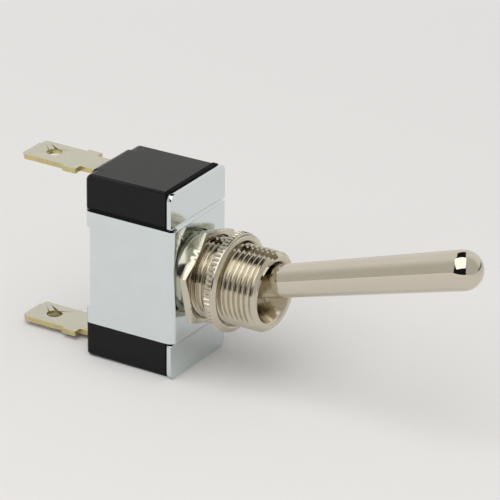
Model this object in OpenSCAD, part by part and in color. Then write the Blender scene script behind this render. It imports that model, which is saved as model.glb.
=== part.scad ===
// Panel toggle switch, single pole on-off, with a long bat lever.
// The switch is drawn with its bushing pointing along -Y, out of the panel, and its
// long side upright along Z. The origin is on the bushing's axis, in the plane of the
// bracket's front face, where a panel seats.

/* [Bracket] */
// Thickness of the bracket's steel sheet
sheet_t = 0.7; // [0.55:0.05:0.9]
// Width across the outside of the bracket's wings
bracket_w = 15.3; // [13:0.1:20]
// Overall height of the bracket's front, tab end to tab end
bracket_h = 30.8; // [28:0.1:38]
// Height of the raised channel and of the side wings
channel_h = 18.7; // [16:0.1:22]
// Height that the channel stands forward of the tabs
joggle = 0.45; // [0.3:0.05:0.8]
// Slope of the step between the channel and a tab
joggle_slope = 30; // [20:1:45]
// Inside radius of the step's bends
joggle_bend = 0.3; // [0.1:0.05:0.5]
// Outside radius of the bends
bend_r = 1.05; // [0.9:0.05:1.6]
// Corner radius at the end of a tab
tab_corner_r = 1.2; // [0.5:0.1:2]
// Corner radius of a tab beside its relief notches
notch_corner_r = 0.35; // [0.1:0.05:0.6]
// Width of the relief notch beside each step
notch_w = 1.3; // [0.8:0.1:2]
// Reach of a folded ear over the back of the base
ear_reach = 2.6; // [1.6:0.1:3.2]
// Height of a folded ear
ear_h = 2.6; // [1.5:0.1:3.5]

/* [Base] */
// Depth of the base behind the insulator, to its back corners
base_d = 14.5; // [12:0.1:20]
// Narrowing of each end of the base by its moulding draft
draft = 0.14; // [0:0.02:0.5]
// Depth of the pockets that the bracket's ears fold into
ear_pocket = 0.9; // [0.8:0.05:1.4]
// Height of the raised middle of the back face
back_raise = 0.5; // [0.2:0.1:1]
// Width of the raised middle of the back face
back_raise_w = 9.4; // [8:0.1:10]
// Thickness of the side walls
side_wall = 1.7; // [1.2:0.1:2.2]
// Thickness of the end walls
end_wall = 2.8; // [1.5:0.1:3.2]
// Thickness of the back wall
back_wall = 2.4; // [1.5:0.1:3]
// Rounding of the upper back edge
top_round = 1.3; // [0.4:0.1:1.6]
// Rounding of the lower back edge
bottom_round = 0.6; // [0.4:0.1:1.6]
// Thickness of the insulator between the base and the bracket
insulator_t = 0.8; // [0.4:0.1:1.2]
// Height that the insulator stands proud above the base
insulator_rise = 0.25; // [0:0.05:0.4]

/* [Bushing and nuts] */
// Outside diameter of the thread
thread_d = 12.7; // [12:0.1:13.2]
// Length of the bushing in front of the bracket
bushing_len = 13.4; // [12:0.1:13.8]
// Bore of the bushing's mouth
mouth_d = 9.6; // [9.4:0.1:10.4]
// Distance from the bracket's face to the lever's pivot
pivot_depth = 7.2; // [6.8:0.1:7.8]
// Width of the keyway along the thread
keyway_w = 1.8; // [1.2:0.1:2.5]
// Depth of the keyway
keyway_d = 0.9; // [0.6:0.1:1.1]
// Wall of the hexagon nut, from the thread to a flat
hex_wall = 0.8; // [0.6:0.1:2.4]
// Thickness of the hexagon nut
hex_t = 1.3; // [1:0.1:2.5]
// Turn of the hexagon nut from flats level
hex_turn = -16.4; // [-30:0.1:30]
// Gap that the loose hexagon nut leaves in front of the bracket
hex_gap = 1.35; // [0.5:0.05:2]
// Wall of the knurled nut, from the thread to the rim
ring_wall = 1.5; // [0.9:0.1:2.8]
// Width of the knurled rim
ring_rim = 1.5; // [1:0.1:2.5]
// Length of the knurled nut's front bevel
ring_bevel = 0.45; // [0.2:0.05:1]
// Gap between the hexagon nut and the knurled nut
nut_gap = 2.7; // [2:0.1:4]

/* [Lever] */
// Tilt of the lever from the bushing's axis at each end of its throw
lever_tilt = 17; // [12:0.5:18]
// Distance from the pivot to the lever's tip
lever_len = 43.6; // [20:0.1:50]
// Diameter of the bat where it leaves the ball
bat_d = 4.9; // [4:0.1:5.2]
// Diameter of the bat at its tip
tip_d = 6.2; // [5:0.1:8]
// Diameter of the ball that turns in the bushing
ball_d = 7; // [6.8:0.1:8]
// Diameter of the inner stem that holds the plunger
stem_d = 4.4; // [4:0.1:4.6]
// Length of the inner stem from the pivot
stem_len = 10.2; // [9:0.1:10.6]
// Diameter of the pivot pin
pin_d = 1.6; // [1.2:0.1:2]

/* [Contacts] */
// Diameter of the plunger
plunger_d = 2.6; // [2:0.1:2.8]
// Length of the plunger
plunger_len = 6.9; // [5:0.1:8]
// Wire diameter of the plunger's spring
spring_wire = 0.35; // [0.25:0.05:0.45]
// Number of turns of the plunger's spring
spring_turns = 6; // [4:1:9]
// Tilt of the rocker at each end of its swing
rocker_tilt = 8; // [6:0.5:9]
// Distance from the bracket's face to the rocker's axis
rocker_depth = 8.2; // [7.8:0.1:8.6]
// Width of the rocker's strip
rocker_w = 4.6; // [3.5:0.1:5]
// Thickness of the copper strips
strip_t = 0.8; // [0.6:0.1:1]
// Diameter of the rocker's pin
rocker_pin_d = 1.2; // [1:0.1:1.3]
// Distance of each rivet from the middle of the base
rivet_z = 8.2; // [7.5:0.1:9]
// Shank diameter of the rivets
rivet_d = 2.4; // [2:0.1:3]
// Diameter of the rivets' heads
rivet_head_d = 4; // [3.2:0.1:4.6]
// Thickness of the rivets' inner heads
rivet_head_t = 1.6; // [1:0.1:1.8]
// Diameter of the silver contacts
contact_d = 3.2; // [2.5:0.1:3.8]

/* [Terminals] */
// Width of the blade
blade_w = 6.35; // [4.75:0.01:6.4]
// Thickness of the blade
blade_t = 0.8; // [0.5:0.05:1]
// Length of the blade, from its tip to its shoulders
blade_len = 8.3; // [6:0.1:9]
// Reach of the upper blade's tip behind the bracket's face
upper_reach = 31.2; // [29:0.1:36]
// Reach of the lower blade's tip behind the bracket's face
lower_reach = 31.5; // [29:0.1:36]
// Diameter of the locking hole
blade_hole_d = 2.5; // [1.4:0.1:2.6]
// Distance of the locking hole from the blade's tip
blade_hole_at = 4.35; // [3.5:0.05:5]
// Height of the upper blade's middle plane above the axis
upper_blade_z = 13.45; // [12.5:0.05:14]
// Depth of the lower blade's middle plane below the axis
lower_blade_z = 14.25; // [12.5:0.05:14.4]

/* [Hidden] */
$fn = 64;
eps = 0.01;

// Clearances
slip = 0.03;            // between fixed pieces that are assembled by hand or staked
run = 0.05;             // round a pin or a sliding plunger
ball_gap = 0.1;         // round the lever's ball
thread_gap = 0.05;      // between a nut and the bushing, both drawn at the thread's crest
contact_gap = 0.05;     // between contacts that meet

// Planes from front to back
tab_front = joggle;
tab_back = tab_front + sheet_t;
base_front = tab_back + insulator_t;
base_back = base_front + base_d;
raised_back = base_back + back_raise;
pocket_back = base_back - ear_pocket;
cavity_back = base_back - back_wall;

// Bracket
step_low = channel_h / 2 - 0.45;        // height at which the step leaves the channel
bend_outer = joggle_bend + sheet_t;
bends_rise = (joggle_bend + bend_outer) * sin(joggle_slope);
bends_shift = (joggle_bend + bend_outer) * (1 - cos(joggle_slope));
step_high = step_low + bends_rise + (joggle - bends_shift) / tan(joggle_slope);
step_half = bracket_w / 2 - notch_w;
tab_low = channel_h / 2 + 0.3;          // lower edge of a tab beside its notches
tab_high = bracket_h / 2;
notch_low = channel_h / 2 - 0.05;
wing_end = pocket_back - 0.35;          // cut edge of the wings, short of the ears' bends
ear_slant = 40;

// Base
base_w = bracket_w - 2 * sheet_t - 2 * slip;
base_h = bracket_h;
front_round = 0.35;
corner_bevel = 0.3;
insulator_corner = 0.6;
cavity_w = base_w - 2 * side_wall;
cavity_h = base_h - 2 * end_wall - 2 * draft;
pocket_half = channel_h / 2 + 0.15;
pocket_bevel = 0.7 * (bend_r - sheet_t) + slip;

// Bushing
thread_r = thread_d / 2;
spigot_r = thread_r - 0.6;
flange_r = thread_r - 0.05;
flange_t = 0.35;
thread_chamfer = 0.6;
mouth_chamfer = 0.3;
ball_r = ball_d / 2;
chamber_r = ball_r + ball_gap;
slot_half = chamber_r + 0.9;
lip_r = ball_r - 0.2;
lip_y = pivot_depth + sqrt(pow(ball_r, 2) - pow(lip_r - ball_gap, 2));
lip_flat = 0.15;
swing_start = 4;
keyway_start = 1.2;
swing_room = 0.3;

// Lever
tip_r = tip_d / 2;
bore_floor = ball_r * 0.4;
plunger_r = plunger_d / 2;
spring_r = plunger_r - spring_wire / 2;

// Rocker's pin, and the plunger that reaches the strip in front of it
pin_r = rocker_pin_d / 2;
pin_cover = 0.1;
strip_stand = pin_r + pin_cover;
plunger_tip = rocker_depth + pivot_depth - strip_stand - strip_t - 2 * contact_gap;

// Path of the plunger's round tip, seen by the rocker: an arc through its middle and ends
tip_centre = plunger_tip - plunger_r;
mid_depth = rocker_depth + pivot_depth - tip_centre;
end_y = -(rocker_depth + pivot_depth) + tip_centre * cos(lever_tilt);
end_z = tip_centre * sin(lever_tilt);
end_depth = -(end_y * cos(rocker_tilt) - end_z * sin(rocker_tilt));
end_across = end_z * cos(rocker_tilt) + end_y * sin(rocker_tilt);
path_rise = end_depth - mid_depth;
path_r = (pow(end_across, 2) + pow(path_rise, 2)) / (2 * path_rise);

// Rocker, about its own axis: a dish that follows that path, with a flat arm at each end
dish_r = path_r + plunger_r + 2 * contact_gap;
dish_centre = mid_depth + path_r;
dish_half = end_across + plunger_r * end_across / path_r + 0.3;
arm_start = dish_centre - sqrt(pow(dish_r, 2) - pow(dish_half, 2));
arm_contact = rivet_z - arm_start * sin(rocker_tilt) - dish_half * cos(rocker_tilt);
arm_len = arm_contact + contact_d / 2 + 0.4;
arm_lap = 0.25;
arm_back = rocker_depth - arm_start * cos(rocker_tilt) + dish_half * sin(rocker_tilt) + strip_t;
rocker_pin_len = rocker_w + 2 * strip_t + 1;
lug_t = strip_t;
lug_gap = 0.1;

// Contacts
boss_front = rocker_depth + 2;
boss_margin = 0.6;
stirrup_back = boss_front;
stirrup_front = stirrup_back - strip_t;
stirrup_gap = 0.3;
stirrup_w = rocker_w + 2 * stirrup_gap + 2 * strip_t;
moving_t = 0.85;
moving_face = arm_back + moving_t;
load_head = boss_front - rivet_head_t;
common_head = stirrup_front - rivet_head_t;
rivet_tail_t = 0.8;
rivet_hole_r = rivet_d / 2 + slip;
boss_w = rivet_head_d + 1.6;
lug_r = stirrup_front - rocker_depth - lug_gap;
dimple_r = 1.1;
dimple_tip_r = 0.8;
stirrup_low = -2.2;
stirrup_high = rivet_z + rivet_head_d / 2 + 0.4;
fork_half = 1.9;
fork_front = rocker_depth - 1.3;

// Terminals
shoulder_w = blade_w + 1.2;
shoulder_len = 2.45;
shank_w = 4.8;
foot_len = 8.4;
foot_bend_in = 0.4;
tip_bevel = 0.9;
edge_bevel = 0.2;
edge_slope = 20;

// Nuts, with distances along the thread from the bracket's face
hex_af = thread_d + 2 * hex_wall;
ring_r = thread_r + ring_wall;
hex_at = hex_gap;
ring_at = hex_gap + hex_t + nut_gap;
nut_bore_r = thread_r + thread_gap;
hex_chamfer = 0.3;
ring_edge = 0.15;
ring_step = 0.35;
ring_bore_bevel = 0.2;

// ---------------------------------------------------------------- helpers

// Turns a shape drawn along +Z so that it points out of the panel, along -Y
module outward() {
    rotate([90, 0, 0]) children();
}

// Turns a shape drawn along +Z so that it points to the back, along +Y
module backward() {
    rotate([-90, 0, 0]) children();
}

// A box given by its lowest corner and its highest corner
module box(low, high) {
    translate(low) cube(high - low);
}

// A flat plate with round corners, centred on X and Z, between two planes in Y
module plate(width, height, corner, front, back) {
    translate([0, front, 0]) backward() {
        linear_extrude(back - front) {
            square([width - 2 * corner, height], center = true);
            square([width, height - 2 * corner], center = true);
            for (x = [-1, 1], z = [-1, 1]) {
                translate([x * (width / 2 - corner), z * (height / 2 - corner)]) circle(corner);
            }
        }
    }
}

// What rounds a square corner at the origin; x and z are the signs of the way out of it
module corner_cut(x, z, corner_r) {
    difference() {
        square(2 * corner_r, center = true);
        translate([-x * corner_r, -z * corner_r]) circle(corner_r);
    }
}

// Points along an arc round a centre, from one angle to another
function arc(centre, radius, from, to, steps = 6) = [
    for (k = [0:steps])
        let (angle = from + (to - from) * k / steps)
        centre + radius * [cos(angle), sin(angle)]
];

// Everything of the lever's group, tilted about the pivot
module on_lever() {
    translate([0, -pivot_depth, 0]) rotate([-lever_tilt, 0, 0]) outward() children();
}

// Everything of the rocker's group, tilted about its pin
module on_rocker() {
    translate([0, rocker_depth, 0]) rotate([rocker_tilt, 0, 0]) children();
}

// A place on the flat of one rocker arm, measured outward from where the arm begins
module on_arm(side, along) {
    mirror([0, 0, side < 0 ? 1 : 0])
        translate([0, -arm_start, dish_half])
        rotate([rocker_tilt, 0, 0])
        translate([0, 0, along])
        children();
}

// ---------------------------------------------------------------- base and bracket

// A rounded edge across the back of the base; its ends are bevelled
module back_edge(width, edge_r) {
    rotate([0, 90, 0]) {
        cylinder(h = width, r = edge_r - corner_bevel, center = true, $fn = 48);
        cylinder(h = width - 2 * corner_bevel, r = edge_r, center = true, $fn = 48);
    }
}

// A drafted block with rounded upper and lower back edges
module drafted(width, back) {
    half_h = base_h / 2 - draft;
    hull() {
        plate(width, base_h, front_round, base_front, base_front + eps);
        translate([0, back - top_round, half_h - top_round]) back_edge(width, top_round);
        translate([0, back - bottom_round, bottom_round - half_h]) back_edge(width, bottom_round);
    }
}

module base_shell() {
    drafted(base_w, base_back);
    drafted(back_raise_w, raised_back);
}

module base_cavity() {
    box([-cavity_w / 2, base_front - eps, -cavity_h / 2], [cavity_w / 2, cavity_back, cavity_h / 2]);
}

module base_bosses() {
    // Boss under the stirrup
    box(
        [-boss_w / 2, boss_front, stirrup_low - boss_margin],
        [boss_w / 2, cavity_back + eps, stirrup_high + boss_margin]
    );
    // Boss under the fixed contact
    box(
        [-boss_w / 2, boss_front, -rivet_z - rivet_head_d / 2 - boss_margin],
        [boss_w / 2, cavity_back + eps, -rivet_z + rivet_head_d / 2 + boss_margin]
    );
}

// Pockets that let the ears lie flush, with a bevel that clears the inside of the bend
module ear_pockets() {
    side = base_w / 2;
    outline = [
        [back_raise_w / 2, pocket_back], [side - pocket_bevel, pocket_back],
        [side + 1, pocket_back - pocket_bevel - 1], [side + 1, raised_back + 1],
        [back_raise_w / 2, raised_back + 1]
    ];
    for (x = [0, 1]) {
        mirror([x, 0, 0]) translate([0, 0, -pocket_half]) linear_extrude(2 * pocket_half) polygon(outline);
    }
}

module base_housing() {
    color([0.10, 0.10, 0.10]) difference() {
        union() {
            difference() {
                base_shell();
                base_cavity();
            }
            base_bosses();
        }
        ear_pockets();
        for (z = [-rivet_z, rivet_z]) {
            translate([0, boss_front - 1, z]) backward() cylinder(h = base_d, r = rivet_hole_r);
        }
    }
}

module insulator_plate() {
    color([0.06, 0.06, 0.06]) difference() {
        translate([0, 0, insulator_rise / 2])
            plate(base_w, base_h + insulator_rise, insulator_corner, tab_back, base_front);
        backward() cylinder(h = base_front + 1, r = flange_r + 0.1);
    }
}

// Outline of the channel seen from above: a flat front with a rounded bend to each wing
module channel_outline(inset) {
    half = bracket_w / 2 - inset;
    corner = bend_r - inset;
    translate([-half, inset + corner]) square([2 * half, base_back]);
    translate([-half + corner, inset]) square([2 * (half - corner), corner + eps]);
    for (x = [-1, 1]) {
        translate([x * (half - corner), inset + corner]) circle(corner);
    }
}

// The channel and its two wings, up to the cut edge beside the base's back corners
module bracket_channel() {
    translate([0, 0, -channel_h / 2]) {
        linear_extrude(channel_h) {
            difference() {
                intersection() {
                    channel_outline(0);
                    translate([-bracket_w, 0]) square([2 * bracket_w, wing_end]);
                }
                channel_outline(sheet_t);
            }
        }
    }
}

// One ear: the wing runs on and folds over the back of the base
module bracket_ear() {
    half = bracket_w / 2;
    outer = pocket_back + sheet_t;
    bottom = channel_h / 2 - ear_h;
    difference() {
        translate([0, 0, bottom]) linear_extrude(ear_h) {
            difference() {
                union() {
                    translate([half - bend_r, pocket_back - 3]) square([bend_r, 3 + sheet_t - bend_r]);
                    translate([half - bend_r, outer - bend_r]) circle(bend_r);
                    translate([half - ear_reach, pocket_back]) square([ear_reach - bend_r, sheet_t]);
                }
                translate([half - bend_r, pocket_back - 4])
                    square([bend_r - sheet_t, 4 + sheet_t - bend_r]);
                translate([half - bend_r, outer - bend_r]) circle(bend_r - sheet_t);
                translate([0, pocket_back - 4]) square([half - bend_r, 4]);
            }
        }
        // The ear's inner end is sheared at a slant
        translate([half - ear_reach, pocket_back + sheet_t / 2, bottom])
            rotate([0, ear_slant, 0]) cube([1.2, 2 * sheet_t, 1.6], center = true);
    }
}

// Section of the step, seen from the side: two bends of the sheet with a slope between them
module step_section() {
    low_centre = [bend_outer, step_low];
    high_centre = [joggle - joggle_bend, step_high];
    front_low = arc(low_centre, bend_outer, 180, 180 - joggle_slope);
    front_high = arc(high_centre, joggle_bend, -joggle_slope, 0);
    back_high = arc(high_centre, bend_outer, 0, -joggle_slope);
    back_low = arc(low_centre, joggle_bend, 180 - joggle_slope, 180);
    polygon(concat(
        [[0, step_low - 1]], front_low, front_high,
        [[joggle, step_high + 1], [joggle + sheet_t, step_high + 1]], back_high, back_low,
        [[sheet_t, step_low - 1]]
    ));
}

// A tab across the full width; it reaches a little lower beside its notches
module tab_outline() {
    half = bracket_w / 2;
    difference() {
        translate([-half, tab_low]) square([bracket_w, tab_high - tab_low]);
        translate([-step_half, tab_low - eps]) square([2 * step_half, step_high - tab_low + eps]);
        for (x = [-1, 1]) {
            translate([x * half, tab_high]) corner_cut(x, 1, tab_corner_r);
            translate([x * half, tab_low]) corner_cut(x, -1, notch_corner_r);
        }
    }
}

// A step and a tab above the channel
module bracket_tab() {
    translate([-step_half, 0, 0]) rotate([90, 0, 90]) linear_extrude(2 * step_half) step_section();
    translate([0, tab_back, 0]) rotate([90, 0, 0]) linear_extrude(sheet_t) tab_outline();
}

module bracket() {
    color([0.78, 0.82, 0.83]) difference() {
        union() {
            difference() {
                bracket_channel();
                // The bends stop short of the steps
                for (x = [-1, 1], z = [-1, 1]) {
                    translate([x * bracket_w / 2, 0, z * (notch_low + 1)])
                        cube([2 * notch_w, 2 * bend_r, 2], center = true);
                }
            }
            for (z = [0, 1]) {
                mirror([0, 0, z]) {
                    bracket_tab();
                    for (x = [0, 1]) {
                        mirror([x, 0, 0]) bracket_ear();
                    }
                }
            }
        }
        translate([0, -1, 0]) backward() cylinder(h = sheet_t + 2, r = spigot_r + slip);
    }
}

// ---------------------------------------------------------------- bushing and nuts

module bushing() {
    rear = -(sheet_t + flange_t);
    rear_r = (pivot_depth - rear) * tan(lever_tilt) + stem_d / 2 / cos(lever_tilt) + swing_room;
    profile = [
        [rear_r, rear], [flange_r, rear], [flange_r, -sheet_t], [spigot_r, -sheet_t], [spigot_r, 0],
        [thread_r, 0], [thread_r, bushing_len - thread_chamfer],
        [thread_r - thread_chamfer, bushing_len], [mouth_d / 2 + mouth_chamfer, bushing_len],
        [mouth_d / 2, bushing_len - mouth_chamfer], [lip_r, lip_y + lip_flat], [lip_r, lip_y],
        [chamber_r, lip_y], [chamber_r, swing_start]
    ];
    color([0.78, 0.75, 0.68]) difference() {
        outward() rotate_extrude() polygon(profile);
        // Keyway along the top of the thread
        box(
            [-keyway_w / 2, -bushing_len - 1, thread_r - keyway_d],
            [keyway_w / 2, -keyway_start, thread_r + 1]
        );
        // Inner slots, open to the back, that the pivot pin slides into
        translate([0, -pivot_depth, 0]) rotate([0, 90, 0])
            cylinder(h = 2 * slot_half, r = pin_d / 2 + slip, center = true);
        box([-slot_half, -pivot_depth, -pin_d / 2 - slip], [slot_half, tab_back, pin_d / 2 + slip]);
    }
}

module pivot_pin() {
    pin_len = 2 * slot_half - 2 * slip;
    color([0.7, 0.7, 0.7])
        translate([0, -pivot_depth, 0]) rotate([0, 90, 0])
            cylinder(h = pin_len, r = pin_d / 2, center = true);
}

module hex_nut() {
    corner_r = hex_af / sqrt(3);
    color([0.78, 0.75, 0.66]) outward() translate([0, 0, hex_at]) difference() {
        intersection() {
            rotate([0, 0, hex_turn]) cylinder(h = hex_t, r = corner_r, $fn = 6);
            // The front face is turned down to a round chamfer
            union() {
                cylinder(h = hex_t - hex_chamfer, r = corner_r + 0.1);
                translate([0, 0, hex_t - hex_chamfer])
                    cylinder(h = hex_chamfer, r1 = corner_r + 0.1, r2 = hex_af / 2 + 0.1);
            }
        }
        translate([0, 0, -1]) cylinder(h = hex_t + 2, r = nut_bore_r);
    }
}

module knurled_nut() {
    front = ring_rim + ring_bevel;
    profile = [
        [nut_bore_r, 0], [ring_r - ring_edge, 0], [ring_r, ring_edge], [ring_r, ring_rim],
        [ring_r - ring_step, ring_rim + 0.05], [nut_bore_r + ring_step, front],
        [nut_bore_r, front - ring_bore_bevel]
    ];
    color([0.78, 0.75, 0.66]) outward() translate([0, 0, ring_at]) rotate_extrude() polygon(profile);
}

// ---------------------------------------------------------------- lever, plunger and spring

module toggle_lever() {
    tip_at = lever_len - tip_r;
    color([0.80, 0.77, 0.72]) on_lever() difference() {
        union() {
            sphere(ball_r);
            cylinder(h = tip_at, r1 = bat_d / 2, r2 = tip_r);
            translate([0, 0, tip_at]) sphere(tip_r);
            translate([0, 0, -stem_len]) cylinder(h = stem_len, r = stem_d / 2);
        }
        // Blind bore for the spring and the plunger
        translate([0, 0, -stem_len - 1]) cylinder(h = stem_len + 1 - bore_floor, r = plunger_r + run);
        rotate([0, 90, 0]) cylinder(h = ball_d + 2, r = pin_d / 2 + run, center = true);
    }
}

module plunger() {
    color([0.85, 0.80, 0.65]) on_lever() {
        translate([0, 0, -tip_centre]) sphere(plunger_r);
        translate([0, 0, -tip_centre]) cylinder(h = plunger_len - plunger_r, r = plunger_r);
    }
}

// Points of the spring's wire: one ring of the wire at each step along the helix
function helix_ring(turn, height, sides) = [
    for (k = [0:sides - 1])
        let (across = spring_r + spring_wire / 2 * cos(360 * k / sides))
        [across * cos(360 * turn), across * sin(360 * turn), height + spring_wire / 2 * sin(360 * k / sides)]
];

module plunger_spring() {
    sides = 8;
    steps = spring_turns * 14;
    top = -bore_floor - spring_wire / 2 - slip;
    bottom = -(plunger_tip - plunger_len) + spring_wire / 2 + slip;
    points = [
        for (i = [0:steps])
            each helix_ring(i / steps * spring_turns, bottom + (top - bottom) * i / steps, sides)
    ];
    walls = [
        for (i = [0:steps - 1], k = [0:sides - 1])
            [
                i * sides + k, i * sides + (k + 1) % sides,
                (i + 1) * sides + (k + 1) % sides, (i + 1) * sides + k
            ]
    ];
    first_cap = [for (k = [sides - 1:-1:0]) k];
    last_cap = [for (k = [0:sides - 1]) steps * sides + k];
    color([0.6, 0.6, 0.6]) on_lever()
        polyhedron(points = points, faces = concat([first_cap], [last_cap], walls));
}

// ---------------------------------------------------------------- rocker and contacts

// Section of the rocker's strip, seen from the side
module rocker_section() {
    beyond = 2 * dish_r;
    difference() {
        translate([-dish_centre, 0]) circle(dish_r + strip_t);
        translate([-dish_centre, 0]) circle(dish_r);
        translate([-dish_centre - beyond, -beyond])
            square([dish_centre + beyond - arm_start, 2 * beyond]);
    }
    for (side = [0, 1]) {
        mirror([0, side]) translate([-arm_start, dish_half]) rotate(rocker_tilt) {
            translate([0, -arm_lap]) square([strip_t, arm_len + arm_lap]);
        }
    }
}

// The two lugs, folded back from the strip's sides, that hold the rocker's pin
module rocker_lugs() {
    root = strip_stand + strip_t / 2;
    for (x = [-1, 1]) {
        translate([x * (rocker_w - lug_t) / 2, 0, 0]) difference() {
            union() {
                rotate([0, 90, 0]) cylinder(h = lug_t, r = lug_r, center = true);
                box([-lug_t / 2, -root, -lug_r], [lug_t / 2, 0, lug_r]);
            }
            rotate([0, 90, 0]) cylinder(h = lug_t + 1, r = pin_r + slip, center = true);
        }
    }
}

module rocker() {
    dimple_h = common_head - contact_gap - arm_back;
    color([0.75, 0.45, 0.30]) on_rocker() {
        rotate([90, 0, 90]) translate([0, 0, -rocker_w / 2]) linear_extrude(rocker_w) rocker_section();
        rocker_lugs();
        // Dimple that stops the upper arm on the common rivet
        on_arm(1, arm_contact) translate([0, strip_t - eps, 0]) backward()
            cylinder(h = dimple_h, r1 = dimple_r, r2 = dimple_tip_r);
    }
}

module rocker_pin() {
    color([0.7, 0.7, 0.7]) on_rocker() rotate([0, 90, 0])
        cylinder(h = rocker_pin_len, r = pin_r, center = true);
}

module moving_contact() {
    color([0.88, 0.88, 0.86]) on_rocker() on_arm(-1, arm_contact)
        translate([0, strip_t, 0]) backward() cylinder(h = moving_t, r = contact_d / 2);
}

module fixed_contact() {
    face = moving_face + contact_gap;
    color([0.88, 0.88, 0.86])
        translate([0, face, -rivet_z]) backward() cylinder(h = load_head - face, r = contact_d / 2);
}

module rivet(side, head_face, head_back) {
    foot_back = raised_back + blade_t;
    color([0.80, 0.68, 0.40]) translate([0, 0, side * rivet_z]) {
        translate([0, head_face, 0]) backward()
            cylinder(h = head_back - head_face, r = rivet_head_d / 2);
        translate([0, head_back - eps, 0]) backward()
            cylinder(h = foot_back - head_back + 2 * eps, r = rivet_d / 2);
        translate([0, foot_back, 0]) backward()
            cylinder(h = rivet_tail_t, r1 = rivet_head_d / 2, r2 = rivet_d / 2);
    }
}

module common_rivet() {
    rivet(1, common_head, stirrup_front);
}

module load_rivet() {
    rivet(-1, load_head, boss_front);
}

// The fork that carries the rocker: a strip under the common rivet with an ear each side
module stirrup() {
    color([0.75, 0.45, 0.30]) difference() {
        union() {
            box([-stirrup_w / 2, stirrup_front, stirrup_low], [stirrup_w / 2, stirrup_back, stirrup_high]);
            for (x = [-1, 1]) {
                translate([x * (stirrup_w - strip_t) / 2, 0, 0])
                    box([-strip_t / 2, fork_front, -fork_half], [strip_t / 2, stirrup_back, fork_half]);
            }
        }
        // Open notches for the rocker's pin
        translate([0, rocker_depth, 0]) rotate([0, 90, 0])
            cylinder(h = stirrup_w + 2, r = pin_r + run, center = true);
        box(
            [-stirrup_w, fork_front - 1, -pin_r - run],
            [stirrup_w, rocker_depth, pin_r + run]
        );
        translate([0, stirrup_front - 1, rivet_z]) backward() cylinder(h = strip_t + 2, r = rivet_hole_r);
    }
}

// ---------------------------------------------------------------- terminals

// Plan of a blade: the tip with cut corners, the shoulders and the narrow shank
module blade_plan(root, tip) {
    neck = tip - blade_len;
    half = blade_w / 2;
    difference() {
        union() {
            polygon([
                [-half, neck - eps], [-half, tip - tip_bevel], [-half + tip_bevel, tip],
                [half - tip_bevel, tip], [half, tip - tip_bevel], [half, neck - eps]
            ]);
            translate([-shoulder_w / 2, neck - shoulder_len]) square([shoulder_w, shoulder_len]);
            translate([-shank_w / 2, root]) square([shank_w, neck - shoulder_len - root + eps]);
        }
        translate([0, tip - blade_hole_at]) circle(blade_hole_d / 2);
    }
}

// A quick-connect blade, bent from a foot that is riveted to the back of the base.
// side is 1 for the upper blade and -1 for the lower one; both are drawn as the upper one.
module terminal(side, blade_z, reach) {
    top = blade_z + blade_t / 2;
    bend_out = foot_bend_in + blade_t;
    bend_y = raised_back + bend_out;
    bend_z = top - bend_out;
    foot_low = top - foot_len;
    color([0.82, 0.78, 0.68]) mirror([0, 0, side < 0 ? 1 : 0]) difference() {
        union() {
            translate([0, 0, top - blade_t]) linear_extrude(blade_t) blade_plan(bend_y - eps, reach);
            intersection() {
                translate([-shank_w / 2, bend_y, bend_z]) rotate([0, 90, 0]) difference() {
                    cylinder(h = shank_w, r = bend_out);
                    translate([0, 0, -1]) cylinder(h = shank_w + 2, r = foot_bend_in);
                }
                box([-shank_w, raised_back - 1, bend_z], [shank_w, bend_y, top + 1]);
            }
            box([-shank_w / 2, raised_back, foot_low], [shank_w / 2, raised_back + blade_t, bend_z + eps]);
        }
        // The blade's tip is thinned on both faces
        for (z = [-1, 1]) {
            translate([0, reach, top - blade_t / 2 + z * blade_t / 2])
                rotate([z * edge_slope, 0, 0])
                cube([blade_w + 2, 6 * edge_bevel, 2 * edge_bevel], center = true);
        }
        translate([0, raised_back - 1, rivet_z]) backward() cylinder(h = blade_t + 2, r = rivet_hole_r);
    }
}

module common_terminal() {
    terminal(1, upper_blade_z, upper_reach);
}

module load_terminal() {
    terminal(-1, lower_blade_z, lower_reach);
}

// ---------------------------------------------------------------- output

base_housing();
insulator_plate();
bracket();
bushing();
pivot_pin();
stirrup();
common_terminal();
load_terminal();
common_rivet();
load_rivet();
fixed_contact();
toggle_lever();
plunger();
plunger_spring();
rocker();
rocker_pin();
moving_contact();
hex_nut();
knurled_nut();
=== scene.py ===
import math

import bmesh
import bpy
from bpy.props import FloatProperty, FloatVectorProperty, IntProperty, PointerProperty
from mathutils import Matrix, Vector


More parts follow.
